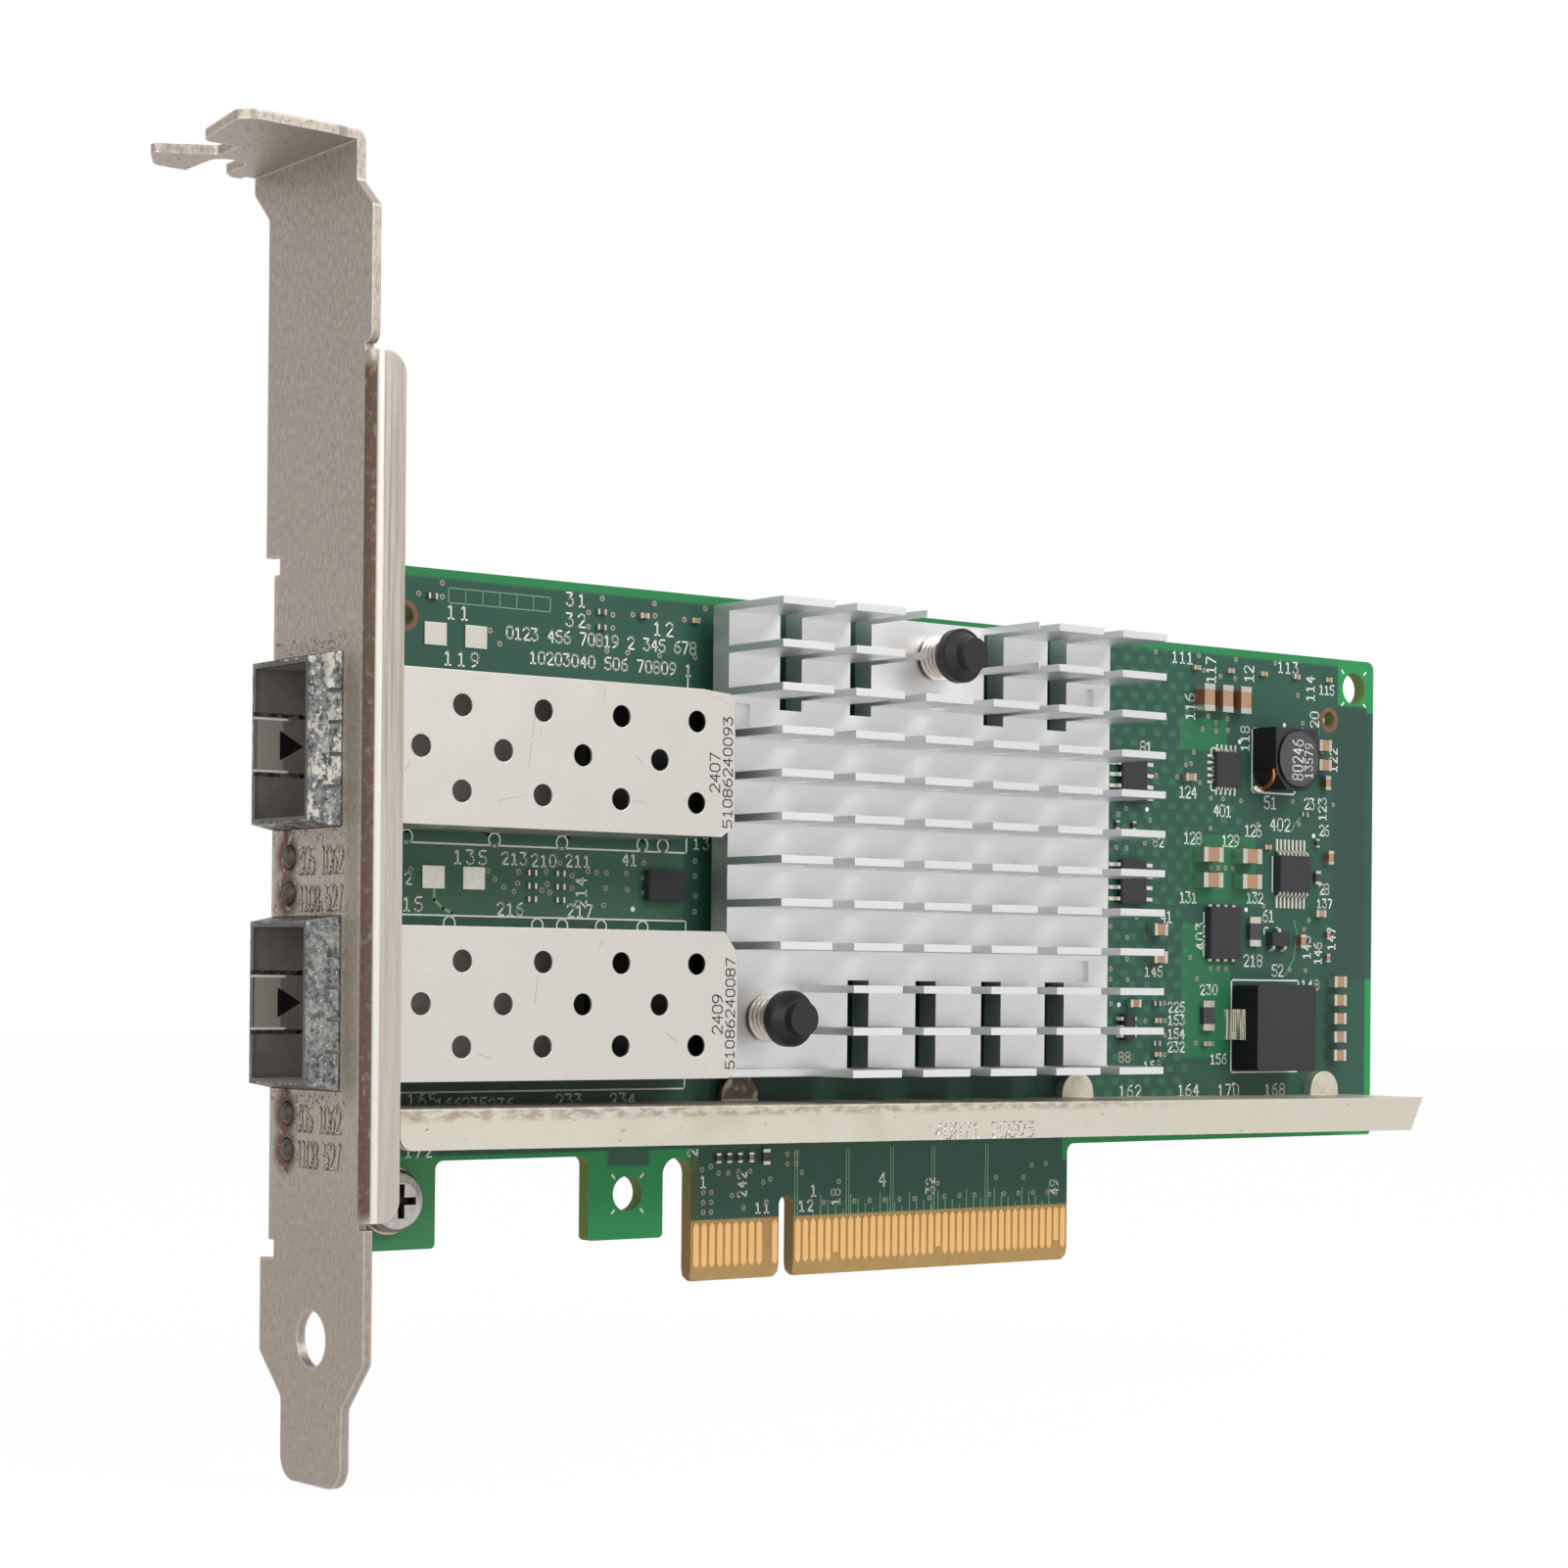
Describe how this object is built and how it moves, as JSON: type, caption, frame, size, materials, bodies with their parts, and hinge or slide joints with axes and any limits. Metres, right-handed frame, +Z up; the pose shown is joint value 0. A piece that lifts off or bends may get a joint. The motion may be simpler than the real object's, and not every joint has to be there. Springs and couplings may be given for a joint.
{
  "type": "network interface card",
  "caption": "Expansion card with stacked pluggable transceiver cages, finned heat sink, keyed edge connector and full-height mounting bracket.",
  "frame": {"origin": "middle of the board's thickness, at the foot of the edge connector and the centre of its key notch", "axes": "+X along the card away from the bracket, +Z up out of the slot, -Y towards the component side"},
  "size_m": [0.1596, 0.0228, 0.12],
  "materials": {
    "board": "teal green solder mask",
    "gold": "gold-plated contacts",
    "bracket_steel": "nickel-plated steel, worn",
    "screw_steel": "bright plated steel",
    "washer": "warm plated steel",
    "cage_metal": "tinned sheet",
    "spring_metal": "darkened spring sheet",
    "black_plastic": "matt black",
    "lens": "clear-grey light lens",
    "sink_aluminium": "bright anodised",
    "chip_mould": "moulding compound",
    "pad_grey": "soft filled pad",
    "pin_plastic": "semi-gloss black",
    "coil_steel": "spring wire",
    "bar_nickel": "nickel-plated steel",
    "ferrite": "dark ferrite",
    "copper": "enamelled wire",
    "solder": "tin",
    "ceramic": "tan ceramic",
    "resistor_black": "dark glazed"
  },
  "bodies": {
    "root": {"bar_rivets": "bar_nickel", "bracket": "bracket_steel", "bracket_screws": "screw_steel", "cage_lower_base": "cage_metal", "cage_lower_cover": "cage_metal", "cage_lower_spring": "spring_metal", "cage_upper_base": "cage_metal", "cage_upper_cover": "cage_metal", "cage_upper_spring": "spring_metal", "capacitor_bodies": "ceramic", "capacitor_ends": "solder", "chip_leads": "solder", "circuit_board": "board", "contacts_front": "gold", "contacts_rear": "gold", "control_chip": "chip_mould", "controller_package": "chip_mould", "driver_chip": "chip_mould", "flat_chip_pads": "solder", "heatsink": "sink_aluminium", "host_socket_lower": "black_plastic", "host_socket_upper": "black_plastic", "light_housings": "black_plastic", "light_lenses": "lens", "memory_chips": "chip_mould", "oscillator": "chip_mould", "pin_spring_lower": "coil_steel", "pin_spring_upper": "coil_steel", "power_switch": "chip_mould", "push_pin_lower": "pin_plastic", "push_pin_upper": "pin_plastic", "resistor_bodies": "resistor_black", "resistor_ends": "solder", "round_inductor_core": "ferrite", "round_inductor_shield": "ferrite", "round_inductor_winding": "copper", "screw_washers": "washer", "small_chips": "chip_mould", "square_inductor_body": "ferrite", "square_inductor_clips": "solder", "stiffener_bar": "bar_nickel", "thermal_pad": "pad_grey", "tinned_pads": "solder"}
  },
  "joints": []
}
